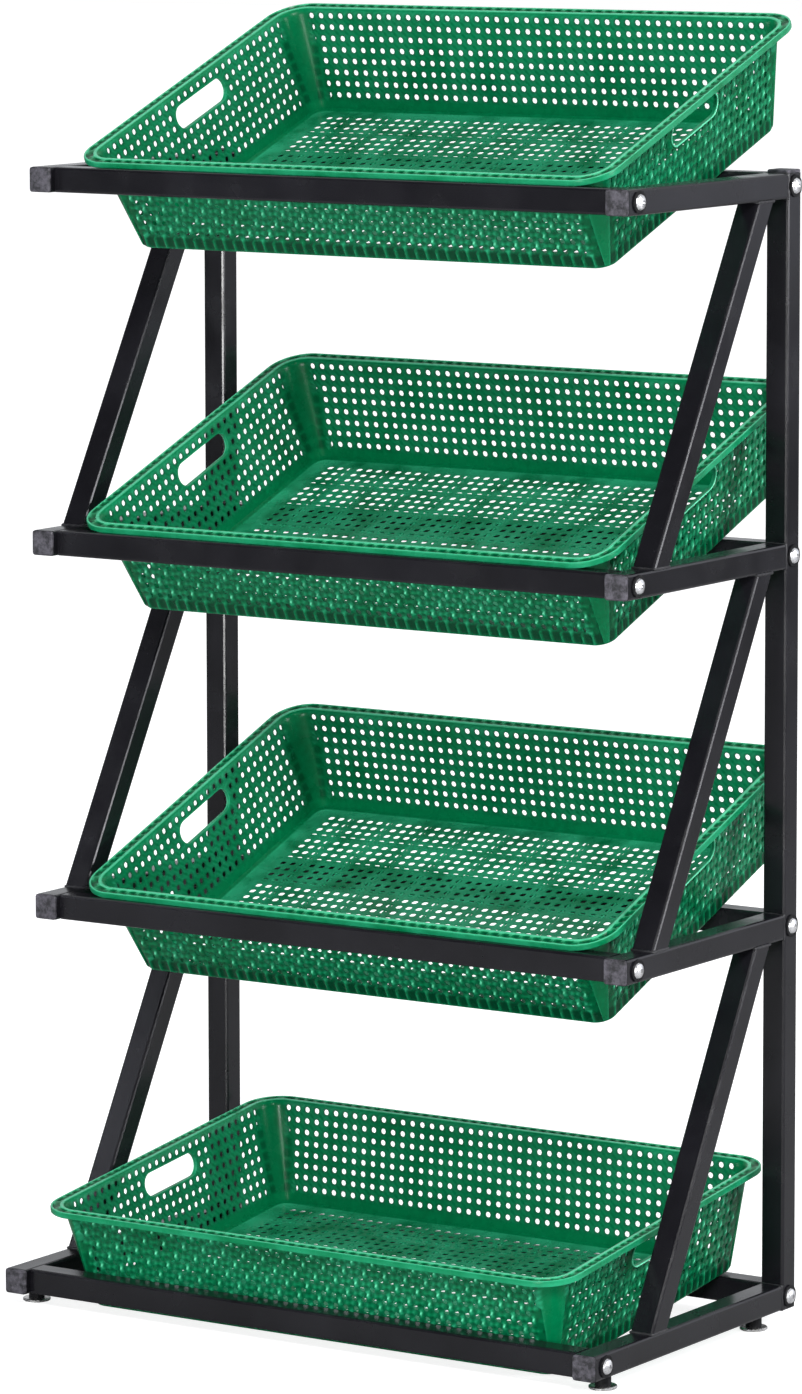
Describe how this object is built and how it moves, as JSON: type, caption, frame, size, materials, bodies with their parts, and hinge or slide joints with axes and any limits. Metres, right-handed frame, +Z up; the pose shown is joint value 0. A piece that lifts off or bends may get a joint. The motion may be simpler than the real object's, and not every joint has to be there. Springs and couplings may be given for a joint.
{
  "type": "shop display rack",
  "caption": "Free-standing square-tube rack with perforated plastic trays, the upper ones tilted forwards, for displaying fruit and vegetables.",
  "frame": {"origin": "on the floor, below the centre of the rack's bounding box", "axes": "+X along the rack's width, to the right seen from the shopper's side; -Y towards the shopper; +Z up"},
  "size_m": [0.7006, 0.4562, 1.2831],
  "materials": {
    "black_powder_coat": "semi-gloss black powder coat with a fine grain",
    "dark_cap_plastic": "dark grey moulded plastic, lightly mottled",
    "bright_bolt": "bright plated steel",
    "plated_foot": "zinc-plated steel",
    "green_basket": "green moulded plastic, semi-gloss, smooth outside"
  },
  "bodies": {
    "frame": {"left_post": "black_powder_coat", "left_arm_1": "black_powder_coat", "left_arm_2": "black_powder_coat", "left_arm_3": "black_powder_coat", "left_arm_4": "black_powder_coat", "left_strut_2": "black_powder_coat", "left_strut_3": "black_powder_coat", "left_strut_4": "black_powder_coat", "right_post": "black_powder_coat", "right_arm_1": "black_powder_coat", "right_arm_2": "black_powder_coat", "right_arm_3": "black_powder_coat", "right_arm_4": "black_powder_coat", "right_strut_2": "black_powder_coat", "right_strut_3": "black_powder_coat", "right_strut_4": "black_powder_coat", "front_rail_1": "black_powder_coat", "rear_rail_1": "black_powder_coat", "front_rail_2": "black_powder_coat", "rear_rail_2": "black_powder_coat", "front_rail_3": "black_powder_coat", "rear_rail_3": "black_powder_coat", "front_rail_4": "black_powder_coat", "rear_rail_4": "black_powder_coat", "left_front_bolt_1": "bright_bolt", "left_front_bolt_2": "bright_bolt", "left_front_bolt_3": "bright_bolt", "left_front_bolt_4": "bright_bolt", "left_rear_bolt_1": "bright_bolt", "left_rear_bolt_2": "bright_bolt", "left_rear_bolt_3": "bright_bolt", "left_rear_bolt_4": "bright_bolt", "right_front_bolt_1": "bright_bolt", "right_front_bolt_2": "bright_bolt", "right_front_bolt_3": "bright_bolt", "right_front_bolt_4": "bright_bolt", "right_rear_bolt_1": "bright_bolt", "right_rear_bolt_2": "bright_bolt", "right_rear_bolt_3": "bright_bolt", "right_rear_bolt_4": "bright_bolt", "left_arm_plug_1": "dark_cap_plastic", "left_arm_plug_2": "dark_cap_plastic", "left_arm_plug_3": "dark_cap_plastic", "left_arm_plug_4": "dark_cap_plastic", "left_post_plug": "dark_cap_plastic", "right_arm_plug_1": "dark_cap_plastic", "right_arm_plug_2": "dark_cap_plastic", "right_arm_plug_3": "dark_cap_plastic", "right_arm_plug_4": "dark_cap_plastic", "right_post_plug": "dark_cap_plastic"},
    "basket_1": {"basket_1": "green_basket"},
    "basket_2": {"basket_2": "green_basket"},
    "basket_3": {"basket_3": "green_basket"},
    "basket_4": {"basket_4": "green_basket"},
    "left_front_foot": {"left_front_foot": "plated_foot"},
    "left_rear_foot": {"left_rear_foot": "plated_foot"},
    "right_front_foot": {"right_front_foot": "plated_foot"},
    "right_rear_foot": {"right_rear_foot": "plated_foot"}
  },
  "joints": [
    {"name": "basket_1_lift", "type": "slide", "parent": "frame", "child": "basket_1", "axis": [0, -0.3578, 0.9338], "range_m": [0, 0.15]},
    {"name": "basket_2_lift", "type": "slide", "parent": "frame", "child": "basket_2", "axis": [0, -0.3578, 0.9338], "range_m": [0, 0.15]},
    {"name": "basket_3_lift", "type": "slide", "parent": "frame", "child": "basket_3", "axis": [0, -0.3578, 0.9338], "range_m": [0, 0.15]},
    {"name": "basket_4_lift", "type": "slide", "parent": "frame", "child": "basket_4", "axis": [0, -0.1219, 0.9925], "range_m": [0, 0.15]},
    {"name": "left_front_foot_height", "type": "slide", "parent": "frame", "child": "left_front_foot", "axis": [0, 0, -1], "range_m": [0, 0.012]},
    {"name": "left_rear_foot_height", "type": "slide", "parent": "frame", "child": "left_rear_foot", "axis": [0, 0, -1], "range_m": [0, 0.012]},
    {"name": "right_front_foot_height", "type": "slide", "parent": "frame", "child": "right_front_foot", "axis": [0, 0, -1], "range_m": [0, 0.012]},
    {"name": "right_rear_foot_height", "type": "slide", "parent": "frame", "child": "right_rear_foot", "axis": [0, 0, -1], "range_m": [0, 0.012]}
  ]
}
